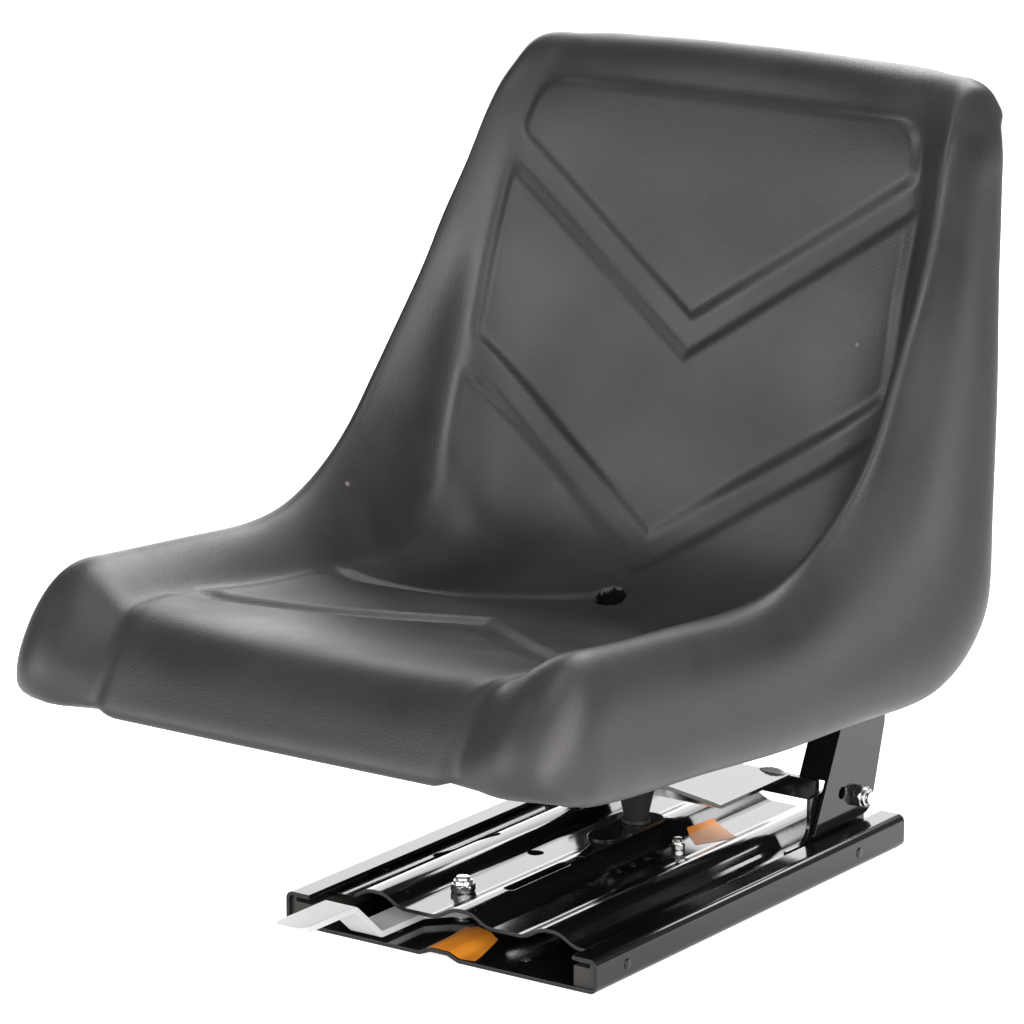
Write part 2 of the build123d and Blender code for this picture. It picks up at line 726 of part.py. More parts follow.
# The recess under the pan and behind the back leaves a rim all round
recess_reach = 2 * carrier_rear_y
with BuildPart() as seat_shell:
    add(seat_body(0))
    with BuildSketch(Plane.YZ):
        with BuildLine():
            FilletPolyline(
                (-recess_reach, carrier_top_z),
                (recess_foot_y, carrier_top_z),
                (recess_head_y, carrier_top_z + recess_head_rise),
                (recess_reach, carrier_top_z + recess_head_rise),
                (recess_reach, -recess_reach),
                (-recess_reach, -recess_reach),
                radius=recess_radius,
                close=True,
            )
        make_face()
    extrude(amount=seat_pan_recess_half_width, both=True, mode=Mode.SUBTRACT)
    add(grooves.part, mode=Mode.SUBTRACT)
    with BuildSketch(Plane.XY.offset(carrier_top_z)):
        with Locations((0, drain_y)):
            Circle(drain_radius)
    extrude(amount=2 * groove_reach, mode=Mode.SUBTRACT)
    with BuildSketch(Plane.XY.offset(carrier_top_z)):
        with Locations((0, seat_bolt_centre_y)):
            with GridLocations(seat_bolt_spacing_x, seat_bolt_spacing_y, 2, 2):
                Circle(seat_bolt_radius)
    extrude(amount=seat_bolt_depth, mode=Mode.SUBTRACT)
finish(seat_shell, "seat_shell")

# Seat bolts: hexagon bolts up through the carrier into the pan
with BuildPart() as seat_bolts:
    with BuildSketch(Plane.XY.offset(seat_carrier_z)):
        with Locations((0, seat_bolt_centre_y)):
            with GridLocations(seat_bolt_spacing_x, seat_bolt_spacing_y, 2, 2):
                RegularPolygon(bolt_head_flats / 2, 6, major_radius=False)
    extrude(amount=-bolt_head_height)
    with BuildSketch(Plane.XY.offset(seat_carrier_z)):
        with Locations((0, seat_bolt_centre_y)):
            with GridLocations(seat_bolt_spacing_x, seat_bolt_spacing_y, 2, 2):
                Circle(seat_bolt_radius)
    extrude(amount=carrier_sheet + seat_bolt_depth)
finish(seat_bolts, "seat_bolts")
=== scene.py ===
# %% [markdown]
# # Operator seat on a slide base
# A moulded pan seat for a small garden tractor stands on a hinged steel frame, and the frame runs fore and
# aft on a slide. This lesson dresses its solids: they are loaded as a fixed frame, in metres, and every
# piece made here is set against them and rides on one of their bodies.

# %% Load the frame
import json
import math

import bmesh
import bpy
import numpy as np
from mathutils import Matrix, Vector
from mathutils.bvhtree import BVHTree


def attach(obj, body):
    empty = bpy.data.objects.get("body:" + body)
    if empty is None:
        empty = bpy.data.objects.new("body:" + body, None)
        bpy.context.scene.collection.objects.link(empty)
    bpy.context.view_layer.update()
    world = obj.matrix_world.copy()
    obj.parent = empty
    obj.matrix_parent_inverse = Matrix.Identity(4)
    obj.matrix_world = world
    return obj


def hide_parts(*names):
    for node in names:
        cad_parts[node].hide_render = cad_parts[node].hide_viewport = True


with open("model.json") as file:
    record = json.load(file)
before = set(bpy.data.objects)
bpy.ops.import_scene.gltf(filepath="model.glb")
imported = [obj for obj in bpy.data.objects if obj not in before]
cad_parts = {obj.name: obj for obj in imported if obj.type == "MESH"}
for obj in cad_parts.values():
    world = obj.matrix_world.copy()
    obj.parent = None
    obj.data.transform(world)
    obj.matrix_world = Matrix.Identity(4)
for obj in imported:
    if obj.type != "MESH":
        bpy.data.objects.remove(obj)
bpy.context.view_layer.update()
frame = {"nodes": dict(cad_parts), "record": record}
nodes = frame["nodes"]
scene = bpy.context.scene
scene.view_settings.view_transform = "Standard"
MM = 0.001

# %% [markdown]
# ## Camera
# The picture was taken from the front, to the right of the seat and a little above it, with a long lens.
# The values below come from matching straight edges of the base plate and paired points of the pan. A camera
# can be placed by hand, but one that is turned round a point keeps that point in the middle of the picture.

# %% Camera
LENS_LENGTH = 189.3
SENSOR_WIDTH = 36
look_at = Vector((0.06824, -0.220, 0.35948))
turn = math.radians(35.2147)
rise = math.radians(14.3279)
distance = 3.95244
camera_data = bpy.data.cameras.new("camera")
camera_data.lens = LENS_LENGTH
camera_data.sensor_width = SENSOR_WIDTH
camera = bpy.data.objects.new("camera", camera_data)
scene.collection.objects.link(camera)
out = Vector((math.sin(turn) * math.cos(rise), -math.cos(turn) * math.cos(rise), math.sin(rise)))
camera.location = look_at + distance * out
camera.rotation_euler = (-out).to_track_quat("-Z", "Y").to_euler()
scene.camera = camera
print("camera at", [round(v, 3) for v in camera.location])

# %% [markdown]
# ## Floor and sky
# A studio cut-out has a white ground and broad soft light. The sky is white only where the camera looks
# straight at it, and a quarter as bright as a lamp and in reflections, so the colours stay as they are
# written. The floor adds a glow of its own, full for the camera and about half in reflections. This keeps
# the ground white without more light on the seat.

# %% Sky
SKY_SEEN = 1.0
SKY_AS_LAMP = 0.25


def shader_nodes(material):
    """A clean node tree for a material: (nodes, links, output)."""
    material.use_nodes = True
    tree = material.node_tree
    tree.nodes.clear()
    output = tree.nodes.new("ShaderNodeOutputMaterial")
    return tree.nodes, tree.links, output


def seen_directly(tree_nodes, tree_links, mirrored):
    """Socket: 1 for camera and transmission rays, for mirrored ones if asked, 0 for scattered light."""
    path = tree_nodes.new("ShaderNodeLightPath")
    seen = path.outputs["Is Camera Ray"]
    for ray in ["Is Transmission Ray"] + ["Is Glossy Ray"] * mirrored:
        larger = tree_nodes.new("ShaderNodeMath")
        larger.operation = "MAXIMUM"
        tree_links.new(seen, larger.inputs[0])
        tree_links.new(path.outputs[ray], larger.inputs[1])
        seen = larger.outputs[0]
    return seen


world = bpy.data.worlds.new("studio")
scene.world = world
world.use_nodes = True
sky = world.node_tree
sky.nodes.clear()
sky_out = sky.nodes.new("ShaderNodeOutputWorld")
pick = sky.nodes.new("ShaderNodeMixShader")
sky.links.new(seen_directly(sky.nodes, sky.links, mirrored=False), pick.inputs[0])
for place, strength in ((1, SKY_AS_LAMP), (2, SKY_SEEN)):
    white = sky.nodes.new("ShaderNodeBackground")
    white.inputs["Color"].default_value = (1, 1, 1, 1)
    white.inputs["Strength"].default_value = strength
    sky.links.new(white.outputs[0], pick.inputs[place])
sky.links.new(pick.outputs[0], sky_out.inputs["Surface"])
print("sky strength", SKY_AS_LAMP, "as a lamp and", SKY_SEEN, "for the camera")

# %% Floor
FLOOR_REACH = 9.0
FLOOR_GAP = 0.0005
GLOW_MIRRORED = 0.45
GLOW_SEEN = 0.40
floor_mesh = bpy.data.meshes.new("floor")
floor_corners = [(a * FLOOR_REACH, b * FLOOR_REACH, 0) for a, b in ((-1, -1), (1, -1), (1, 1), (-1, 1))]
floor_mesh.from_pydata(floor_corners, [], [(0, 1, 2, 3)])
floor = bpy.data.objects.new("floor", floor_mesh)
scene.collection.objects.link(floor)
floor.location.z = -FLOOR_GAP
pale = bpy.data.materials.new("pale floor")
floor_nodes, floor_links, floor_out = shader_nodes(pale)
matt = floor_nodes.new("ShaderNodeBsdfPrincipled")
matt.inputs["Base Color"].default_value = (0.86, 0.86, 0.86, 1)
matt.inputs["Roughness"].default_value = 0.9
matt.inputs["Specular IOR Level"].default_value = 0.0
matt.inputs["Emission Color"].default_value = (1, 1, 1, 1)
glow = floor_nodes.new("ShaderNodeMath")
glow.operation = "MULTIPLY"
glow.inputs[1].default_value = GLOW_MIRRORED
floor_links.new(seen_directly(floor_nodes, floor_links, mirrored=True), glow.inputs[0])
extra = floor_nodes.new("ShaderNodeMath")
extra.operation = "MULTIPLY_ADD"
extra.inputs[1].default_value = GLOW_SEEN
floor_links.new(seen_directly(floor_nodes, floor_links, mirrored=False), extra.inputs[0])
floor_links.new(glow.outputs[0], extra.inputs[2])
floor_links.new(extra.outputs[0], matt.inputs["Emission Strength"])
floor_links.new(matt.outputs[0], floor_out.inputs["Surface"])
floor_mesh.materials.append(pale)
print("floor glows", GLOW_MIRRORED, "in reflections and", GLOW_MIRRORED + GLOW_SEEN, "for the camera")

# %% [markdown]
# ## Lamps
# Black things are seen by what they mirror, so the lamps are broad flat panels, as in a photo studio. Small
# lamps would leave hard points of light on the paint. The strong ones stand behind and to the right, where
# the picture has its bright edges, and weaker panels in front keep the chevron bands readable.

# %% Lamps


def softbox(name, place, aim, size, power):
    """A flat area lamp at place that looks at aim."""
    lamp = bpy.data.lights.new(name, "AREA")
    lamp.shape = "RECTANGLE"
    lamp.size, lamp.size_y = size
    lamp.energy = power
    box = bpy.data.objects.new(name, lamp)
    scene.collection.objects.link(box)
    box.location = place
    box.rotation_euler = (Vector(aim) - Vector(place)).to_track_quat("-Z", "Y").to_euler()


softbox("rear softbox", place=(-0.15, 1.75, 2.3), aim=(0, -0.25, 0.3), size=(1.8, 1.8), power=66)
softbox("left rear panel", place=(-1.9, 2.25, 0.95), aim=(0, 0, 0.3), size=(2.2, 2.2), power=44)
softbox("right softbox", place=(2.35, -0.75, 1.15), aim=(0, -0.05, 0.35), size=(2.0, 2.0), power=60)
softbox("low right panel", place=(2.4, -1.45, 0.45), aim=(0.1, -0.2, 0.3), size=(1.5, 0.7), power=22)
softbox("front panel", place=(-1.3, -2.6, 1.2), aim=(0, 0, 0.35), size=(2.2, 2.0), power=40)
softbox("low front panel", place=(-1.25, -2.35, 0.42), aim=(0, -0.4, 0.3), size=(2.0, 0.7), power=10)
softbox("front right panel", place=(0.75, -2.6, 1.05), aim=(0, -0.1, 0.4), size=(1.2, 1.2), power=15)
softbox("high front panel", place=(0.5, -0.9, 2.7), aim=(0, -0.1, 0.4), size=(1.0, 1.0), power=15)
print("lamps set")

# %% [markdown]
# ## Finishes
# Nine finishes cover the seat: a moulded foam skin, glossy black paint, a white coat on the lever, zinc
# plate, dark plastic, rubber, orange film, a near-black painted shade for the inside of the drain and a weld
# bead. Real surfaces are never even. A pattern worked out from the place on the piece needs no unwrapping, so
# one shared group gives slow clouds, a fine grain and rare light specks, and each finish takes the part of it
# that it needs. A tenth finish, for nylon, comes with the lock nuts.

# %% Shared surface group
SPECK_CORE, SPECK_RIM = 0.05, 0.10
SPECK_RARITY = 0.965


def surface_group():
    """Node group with slow clouds, fine grain and rare specks, all from the object's own coordinates."""
    group = bpy.data.node_groups.new("worn surface", "ShaderNodeTree")
    for label, value in (("Cloud Scale", 9.0), ("Grain Scale", 900.0), ("Speck Scale", 70.0)):
        socket = group.interface.new_socket(label, in_out="INPUT", socket_type="NodeSocketFloat")
        socket.default_value = value
    for label in ("Cloud", "Grain", "Speck"):
        group.interface.new_socket(label, in_out="OUTPUT", socket_type="NodeSocketFloat")
    start = group.nodes.new("NodeGroupInput")
    end = group.nodes.new("NodeGroupOutput")
    place = group.nodes.new("ShaderNodeTexCoord")
    cloud = group.nodes.new("ShaderNodeTexNoise")
    cloud.inputs["Detail"].default_value = 4
    cloud.inputs["Roughness"].default_value = 0.6
    grain = group.nodes.new("ShaderNodeTexNoise")
    grain.inputs["Detail"].default_value = 2
    speck = group.nodes.new("ShaderNodeTexVoronoi")
    dot = group.nodes.new("ShaderNodeMapRange")
    dot.inputs["From Min"].default_value = SPECK_RIM
    dot.inputs["From Max"].default_value = SPECK_CORE
    few = group.nodes.new("ShaderNodeSeparateColor")
    rare = group.nodes.new("ShaderNodeMath")
    rare.operation = "GREATER_THAN"
    rare.inputs[1].default_value = SPECK_RARITY
    both = group.nodes.new("ShaderNodeMath")
    both.operation = "MULTIPLY"
    links = group.links
    for texture, scale in ((cloud, "Cloud Scale"), (grain, "Grain Scale"), (speck, "Speck Scale")):
        links.new(place.outputs["Object"], texture.inputs["Vector"])
        links.new(start.outputs[scale], texture.inputs["Scale"])
    links.new(speck.outputs["Distance"], dot.inputs["Value"])
    links.new(speck.outputs["Color"], few.inputs[0])
    links.new(few.outputs[0], rare.inputs[0])
    links.new(dot.outputs[0], both.inputs[0])
    links.new(rare.outputs[0], both.inputs[1])
    links.new(cloud.outputs[0], end.inputs["Cloud"])
    links.new(grain.outputs[0], end.inputs["Grain"])
    links.new(both.outputs[0], end.inputs["Speck"])
    return group


worn = surface_group()
print("group sockets:", [item.name for item in worn.interface.items_tree])

# %% [markdown]
# ## From the group to a finish
# Each finish mixes two shades by the clouds, puts the specks on top and lets the gloss drift with the clouds
# too. Folded sheet has softly rounded edges. A bevel on the mesh would do that, but it leaves streaks on
# these long flat faces, so the edge is rounded in the shading alone, by a Bevel node in front of the grain.

# %% Finish builder
COAT_ROUGHNESS = 0.06
CLOUD_LOW, CLOUD_HIGH = 0.3, 0.7
EDGE_SAMPLES = 6


def finish(
    name, dark, light, speck, rough, scales, bump,
    metallic=0.0, coat=0.0, mirror=0.5, edge=0.0, tint=(1, 1, 1),
):
    """A material with clouded colour and gloss, grain, specks and softly rounded edges."""
    material = bpy.data.materials.new(name)
    tree_nodes, links, output = shader_nodes(material)
    skin = tree_nodes.new("ShaderNodeBsdfPrincipled")
    skin.inputs["Metallic"].default_value = metallic
    skin.inputs["Coat Weight"].default_value = coat
    skin.inputs["Coat Roughness"].default_value = COAT_ROUGHNESS
    skin.inputs["Specular IOR Level"].default_value = mirror
    skin.inputs["Specular Tint"].default_value = (*tint, 1)
    surface = tree_nodes.new("ShaderNodeGroup")
    surface.node_tree = worn
    for label, value in zip(("Cloud Scale", "Grain Scale", "Speck Scale"), scales):
        surface.inputs[label].default_value = value
    drift = tree_nodes.new("ShaderNodeMix")
    drift.data_type = "RGBA"
    drift.inputs["A"].default_value = (*dark, 1)
    drift.inputs["B"].default_value = (*light, 1)
    spots = tree_nodes.new("ShaderNodeMix")
    spots.data_type = "RGBA"
    spots.inputs["B"].default_value = (*speck, 1)
    gloss = tree_nodes.new("ShaderNodeMapRange")
    gloss.inputs["From Min"].default_value = CLOUD_LOW
    gloss.inputs["From Max"].default_value = CLOUD_HIGH
    gloss.inputs["To Min"].default_value = rough[0]
    gloss.inputs["To Max"].default_value = rough[1]
    relief = tree_nodes.new("ShaderNodeBump")
    relief.inputs["Strength"].default_value = bump[0]
    relief.inputs["Distance"].default_value = bump[1]
    links.new(surface.outputs["Cloud"], drift.inputs["Factor"])
    links.new(drift.outputs["Result"], spots.inputs["A"])
    links.new(surface.outputs["Speck"], spots.inputs["Factor"])
    links.new(spots.outputs["Result"], skin.inputs["Base Color"])
    links.new(surface.outputs["Cloud"], gloss.inputs["Value"])
    links.new(gloss.outputs["Result"], skin.inputs["Roughness"])
    links.new(surface.outputs["Grain"], relief.inputs["Height"])
    if edge:
        rounded = tree_nodes.new("ShaderNodeBevel")
        rounded.samples = EDGE_SAMPLES
        rounded.inputs["Radius"].default_value = edge
        links.new(rounded.outputs["Normal"], relief.inputs["Normal"])
    links.new(relief.outputs["Normal"], skin.inputs["Normal"])
    links.new(skin.outputs[0], output.inputs["Surface"])
    return material


print("clouds from", CLOUD_LOW, "to", CLOUD_HIGH, "set the gloss")

# %% The finishes
seat_skin = finish(
    "moulded skin", dark=(0.010, 0.0092, 0.0095), light=(0.029, 0.0265, 0.027), speck=(0.16, 0.15, 0.14),
    rough=(0.35, 0.53), scales=(9, 620, 38), bump=(0.5, 0.0004), tint=(1.0, 0.955, 0.965),
)
black_paint = finish(
    "black paint", dark=(0.004, 0.004, 0.004), light=(0.008, 0.008, 0.008), speck=(0.10, 0.10, 0.10),
    rough=(0.07, 0.15), scales=(14, 260, 120), bump=(0.03, 0.0004), coat=0.1, edge=0.0008,
)
white_coat = finish(
    "white coat", dark=(0.70, 0.70, 0.70), light=(0.80, 0.80, 0.80), speck=(0.50, 0.49, 0.47),
    rough=(0.28, 0.42), scales=(25, 500, 150), bump=(0.05, 0.0004), edge=0.0010,
)
zinc_plate = finish(
    "zinc plate", dark=(0.58, 0.58, 0.56), light=(0.76, 0.76, 0.74), speck=(0.30, 0.29, 0.27),
    rough=(0.18, 0.32), scales=(60, 900, 300), bump=(0.06, 0.0002), metallic=1.0,
)
dark_plastic = finish(
    "dark plastic", dark=(0.020, 0.018, 0.016), light=(0.040, 0.035, 0.030), speck=(0.12, 0.11, 0.10),
    rough=(0.38, 0.55), scales=(30, 700, 160), bump=(0.12, 0.0003),
)
buffer_rubber = finish(
    "buffer rubber", dark=(0.010, 0.010, 0.010), light=(0.018, 0.018, 0.018), speck=(0.08, 0.08, 0.08),
    rough=(0.45, 0.60), scales=(40, 800, 200), bump=(0.10, 0.0003),
)
orange_film = finish(
    "orange film", dark=(0.86, 0.26, 0.02), light=(0.97, 0.36, 0.04), speck=(0.95, 0.55, 0.25),
    rough=(0.30, 0.45), scales=(40, 600, 200), bump=(0.03, 0.0002), mirror=0.15,
)
# The inside of the drain is painted near black: painted shade that stands in for the depth of the hole.
drain_painted_shade = finish(
    "drain painted shade", dark=(0.002, 0.002, 0.002), light=(0.004, 0.004, 0.004), speck=(0.01, 0.01, 0.01),
    rough=(0.7, 0.8), scales=(40, 600, 200), bump=(0.03, 0.0002), mirror=0.05,
)
weld_bead = finish(
    "weld bead", dark=(0.42, 0.42, 0.41), light=(0.66, 0.66, 0.64), speck=(0.20, 0.20, 0.19),
    rough=(0.32, 0.48), scales=(120, 900, 300), bump=(0.15, 0.0003), metallic=0.5,
)
by_slot = {
    "seat_foam": seat_skin,
    "black_paint": black_paint,
    "white_coat": white_coat,
    "zinc": zinc_plate,
    "glider_plastic": dark_plastic,
    "rubber": buffer_rubber,
}
for entry in frame["record"]["subparts"]:
    solid = nodes[entry["node"]]
    solid.data.materials.clear()
    solid.data.materials.append(by_slot[entry["material_slot"]])
print("finishes:", [m.name for m in by_slot.values()])

# %% [markdown]
# ## The moulded pan
# The pan is one foam moulding. Its form is a row of cross-sections that run from the front skirt over the
# seat and up the back, and raised cushions stand on it, parted by chevron bands. Modelling it as a dense grid
# lets each point be placed by a rule: first the smooth form, then the cushions as a height on top of it.
# The cross-sections below, in millimetres, were fitted to the outline in the picture.

# %% Cross-sections of the pan
CARRIER_TOP = 185.3
HALF_WIDTH = 255.0
PANEL_HALF = 176.0
RIM_ROUND = 9.0
RIM, RIDGE = slice(0, 2), slice(2, 4)
MIDDLE_RISE, SIDE_RISE, TAPER, PANEL_TAPER = 4, 5, 6, 7
stations = np.array([  # rim Y and height, ridge Y and height, panel rise at middle and side, the two tapers
    (-389.5, 24.5, -422, 29, 37, 36, 44, 15),
    (-387.5, 22, -428, 32, 42.5, 41.5, 26, 12),
    (-384.5, 19, -434.5, 54, 48, 47.5, 9, 12),
    (-380, 19, -416, 86.5, 57, 57.5, 3, 12),
    (-374, 17.5, -382.5, 118, 71.5, 74, 0.5, 8),
    (-339.5, 12, -340, 123, 79, 83, 1.5, 0),
    (-225, 3.5, -225, 114, 71.5, 75.5, 1.5, 0),
    (-109.5, -5.5, -116, 112.5, 67, 71, 0, -2),
    (20, -11, -40, 145, 62, 67.5, 0, -9),
    (99, -9.5, -2.5, 176, 96, 104, 0, -14),
    (158.5, 23, 25.5, 208, 135, 143, 3, -18),
    (184.5, 80.5, 68.5, 267, 149, 157, 12, -20),
    (199, 196, 102, 319, 113.5, 122.5, 16, -18),
    (214.5, 287, 131, 368, 90, 97, 24, -15),
    (228.5, 367, 162.5, 419, 72, 76.5, 31.5, -4),
    (235, 400, 215, 446, 58, 54.5, 39.5, 8),
    (249, 408, 256, 429, 31, 30, 60, 22),
    (252, 411, 262, 427, 24, 23, 70, 27),
])
rim_rounding = [(1.7, 0), (0.5, 0.8)]
bolster_outside = [(0, 0.4), (0.05, 0.68), (0.17, 0.88)]
bolster_inside = [(0.36, 1), (0.6, 0.84), (0.85, 0.48), (1.08, 0.14), (1.4, 0)]


def section(row):
    """Half outline of one cross-section: points (x, height over the rim) from the rim to the middle."""
    reach_up = math.hypot(*(row[RIDGE] - row[RIM]))
    outer = HALF_WIDTH - row[TAPER]
    panel = PANEL_HALF - row[PANEL_TAPER]
    bolster = outer - panel
    middle_rise, side_rise = row[MIDDLE_RISE], row[SIDE_RISE]
    halfway_rise = 0.7 * middle_rise + 0.3 * side_rise
    half = [(outer - inward * RIM_ROUND, up * RIM_ROUND) for inward, up in rim_rounding]
    half += [(outer - inward * bolster, up * reach_up) for inward, up in bolster_outside]
    over_panel = reach_up - side_rise
    half += [(outer - inward * bolster, side_rise + up * over_panel) for inward, up in bolster_inside]
    half += [(panel / 2, halfway_rise), (0, middle_rise)]
    return half


def smooth_through(knots, values, at):
    """Natural cubic curve through values at the knots, read at other places."""
    count = len(knots)
    gap = np.diff(knots)
    slope = np.diff(values, axis=0) / gap[:, None]
    system = np.zeros((count, count))
    right = np.zeros(values.shape)
    system[0, 0] = system[-1, -1] = 1
    for i in range(1, count - 1):
        system[i, i - 1 : i + 2] = gap[i - 1], 2 * (gap[i - 1] + gap[i]), gap[i]
        right[i] = 6 * (slope[i] - slope[i - 1])
    bend = np.linalg.solve(system, right)
    i = np.clip(np.searchsorted(knots, at, side="right") - 1, 0, count - 2)
    h = gap[i][:, None]
    a = (knots[i + 1] - at)[:, None] / h
    b = 1 - a
    return a * values[i] + b * values[i + 1] + ((a**3 - a) * bend[i] + (b**3 - b) * bend[i + 1]) * h**2 / 6


def through_points(points, shares, at):
    """Smooth curve through one outline's points, paced by their own spacing and read at shares of the way."""
    knots = np.concatenate([[0], np.cumsum(np.linalg.norm(np.diff(points, axis=0), axis=1))])
    return smooth_through(knots, points, np.interp(at, shares, knots))


outlines = []
for row in stations:
    half = section(row)
    outlines.append([(-x, s) for x, s in half] + list(reversed(half[:-1])))
outlines = np.array(outlines)
rim_line, ridge_line = stations[:, RIM], stations[:, RIDGE]
up = ridge_line - rim_line
up /= np.linalg.norm(up, axis=1)[:, None]
middle_line = rim_line + up * stations[:, [MIDDLE_RISE]]
step = [np.linalg.norm(np.diff(line, axis=0), axis=1) for line in (rim_line, middle_line, ridge_line)]
along_knots = np.concatenate([[0], np.cumsum(np.mean(step, axis=0))])
across_step = np.linalg.norm(np.diff(outlines, axis=1), axis=2).mean(axis=0)
across_knots = np.concatenate([[0], np.cumsum(across_step)])
print("pan runs", round(along_knots[-1]), "mm along and", round(across_knots[-1]), "mm across")

# %% [markdown]
# ## Smooth form of the pan
# Curves through the cross-sections, first along the pan and then across it, give a grid of points. The grid
# could be even, but the drain is a small round hole in a big form, so rows and columns stand closer there.

# %% Smooth form of the pan
EVEN_ROWS, EVEN_COLUMNS = 296, 222
DRAIN_ALONG = 458.0


def denser(line, centre, reach, pitch):
    """The line's places, with closer ones within reach of a centre."""
    close = np.arange(centre - reach, centre + reach + pitch / 2, pitch)
    return np.sort(np.concatenate([line[np.abs(line - centre) > reach + 0.6 * pitch], close]))


even_along = np.linspace(0, along_knots[-1], EVEN_ROWS)
even_across = np.linspace(0, across_knots[-1], EVEN_COLUMNS)
along = denser(even_along, centre=DRAIN_ALONG, reach=24, pitch=1.8)
across = denser(even_across, centre=across_knots[-1] / 2, reach=18, pitch=1.6)
ROWS, COLUMNS = len(along), len(across)
ends = smooth_through(along_knots, stations, along)
lean = ends[:, RIDGE] - ends[:, RIM]
lean /= np.linalg.norm(lean, axis=1)[:, None]
rim_y, rim_z = ends[:, 0:1], ends[:, 1:2]
lean_y, lean_z = lean[:, 0:1], lean[:, 1:2]
flat = smooth_through(along_knots, outlines.reshape(len(stations), -1), along)
flat = np.array([through_points(row, across_knots, across) for row in flat.reshape(ROWS, -1, 2)])
pan = np.empty((ROWS, COLUMNS, 3))
pan[..., 0] = flat[..., 0]
pan[..., 1] = rim_y + flat[..., 1] * lean_y
pan[..., 2] = CARRIER_TOP + rim_z + flat[..., 1] * lean_z
print("pan grid", ROWS, "rows and", COLUMNS, "columns")

# %% [markdown]
# ## Sanding and trims
# A curve through few cross-sections ripples where they change fast, at the top corners and the front lobes.
# More cross-sections would mean many more values. So the grid is sanded there: each pass averages a point
# with its neighbours and then swells it back a little further, which takes short bumps off and keeps the
# size. The top corners are also trimmed by up to three millimetres, to fit the outline in the picture.

# %% Sanding and trims
SAND, SWELL = 0.60, -0.61
CORNER_PASSES, LOBE_PASSES = 120, 90
RIM_COLUMNS = 6
CORNER_HEIGHTS, CORNER_WIDTHS = (CARRIER_TOP + 250, CARRIER_TOP + 370), (70, 150)
TRIM_HEIGHTS, TRIM_WIDTHS, TRIM_BACK = (595, 625), (150, 205), (150, 200)
LOBE_FRONT, LOBE_WIDTHS = (345, 385), (120, 160)


def sanded(grid, where, passes, lengthwise):
    """The grid with short bumps sanded off across it, and along it if lengthwise, as far as where says."""
    for _ in range(passes):
        for strength in (SAND, SWELL):
            wide = np.pad(grid, ((1, 1), (1, 1), (0, 0)), mode="edge")
            mean = (wide[1:-1, :-2] + wide[1:-1, 2:]) / 2
            if lengthwise:
                mean = (mean + (wide[:-2, 1:-1] + wide[2:, 1:-1]) / 2) / 2
            grid = grid + strength * where[..., None] * (mean - grid)
    return grid


def ease(value, low, high):
    """0 below low, 1 above high and a smooth rise between."""
    t = np.clip((value - low) / (high - low), 0, 1)
    return t * t * (3 - 2 * t)


def bell(value, amount, centre, spread):
    """The amount at the centre, falling off on both sides of it."""
    return amount * np.exp(-(((value - centre) / spread) ** 2))


column = np.arange(COLUMNS)
off_rim = ease(np.minimum(column, COLUMNS - 1 - column), 0, RIM_COLUMNS)[None, :]
top_corner = ease(pan[..., 2], *CORNER_HEIGHTS) * ease(np.abs(pan[..., 0]), *CORNER_WIDTHS)
pan = sanded(pan, top_corner * off_rim, CORNER_PASSES, lengthwise=True)
height, width = pan[..., 2], np.abs(pan[..., 0])
wider = bell(height, amount=2.3, centre=580, spread=22) - bell(height, amount=3.0, centre=611, spread=14)
pan[..., 0] += np.sign(pan[..., 0]) * wider * ease(width, *TRIM_WIDTHS) * ease(pan[..., 1], *TRIM_BACK)
higher = bell(width, amount=1.6, centre=186, spread=11) - bell(width, amount=0.8, centre=160, spread=14)
pan[..., 2] += higher * ease(height, *TRIM_HEIGHTS)
front_lobe = ease(-pan[..., 1], *LOBE_FRONT) * ease(np.abs(pan[..., 0]), *LOBE_WIDTHS)
pan = sanded(pan, front_lobe * off_rim, LOBE_PASSES, lengthwise=False)
facing = np.cross(np.gradient(pan, axis=1), np.gradient(pan, axis=0))
facing /= np.linalg.norm(facing, axis=2)[..., None]
if facing[ROWS // 3, COLUMNS // 2, 2] < 0:
    facing = -facing
print("pan top at", round(pan[..., 2].max(), 1), "mm")

# %% [markdown]
# ## Cushions and chevron bands
# Seen in raking light, the panels stand proud of the bolsters and of the V-shaped bands between them. So
# each point gets its distance to the nearest border or band, and the form drops by a few millimetres where
# that distance runs out. The drop fades away up the bolsters, so that only a crease is left beside a cushion.

# %% Borders and bands
BORDER_INSET = 2.0
BORDER_BLEND, BAND_BLEND = 22, 7
BAND = 19.0
BACK_TILT = math.radians(20)
BACK_FOOT_Y, BACK_FOOT_Z = 58, 80
BACK_TOP = 362
BACK_TIPS = (-18, 156)
SEAT_TIPS = (-180, -9)


def nearer(a, b, blend):
    """The smaller of two distances, rounded where they meet."""
    h = np.clip(0.5 + 0.5 * (b - a) / blend, 0, 1)
    return b + (a - b) * h - blend * h * (1 - h)


def arm_of_v(rise, span):
    """Slope of a V's arm, and the cosine that turns a step along the middle into one square to the arm."""
    return rise / span, span / math.hypot(span, rise)


x, y, z = pan[..., 0], pan[..., 1], pan[..., 2]
to_border = PANEL_HALF - ends[:, [PANEL_TAPER]] - BORDER_INSET - np.abs(x)
climb = (y - BACK_FOOT_Y) * math.sin(BACK_TILT) + (z - CARRIER_TOP - BACK_FOOT_Z) * math.cos(BACK_TILT)
to_top = BACK_TOP - climb
clear = nearer(to_border, to_top, BORDER_BLEND)
back_slope, back_cos = arm_of_v(rise=134, span=190)
seat_slope, seat_cos = arm_of_v(rise=128, span=176)
bands = [(climb - tip - back_slope * np.abs(x)) * back_cos for tip in BACK_TIPS]
bands += [(y - tip + seat_slope * np.abs(x)) * seat_cos for tip in SEAT_TIPS]
for depth_in in bands:
    clear = nearer(clear, np.maximum(-depth_in, depth_in - BAND), BAND_BLEND)
print("bands:", len(bands), "each", BAND, "mm wide")

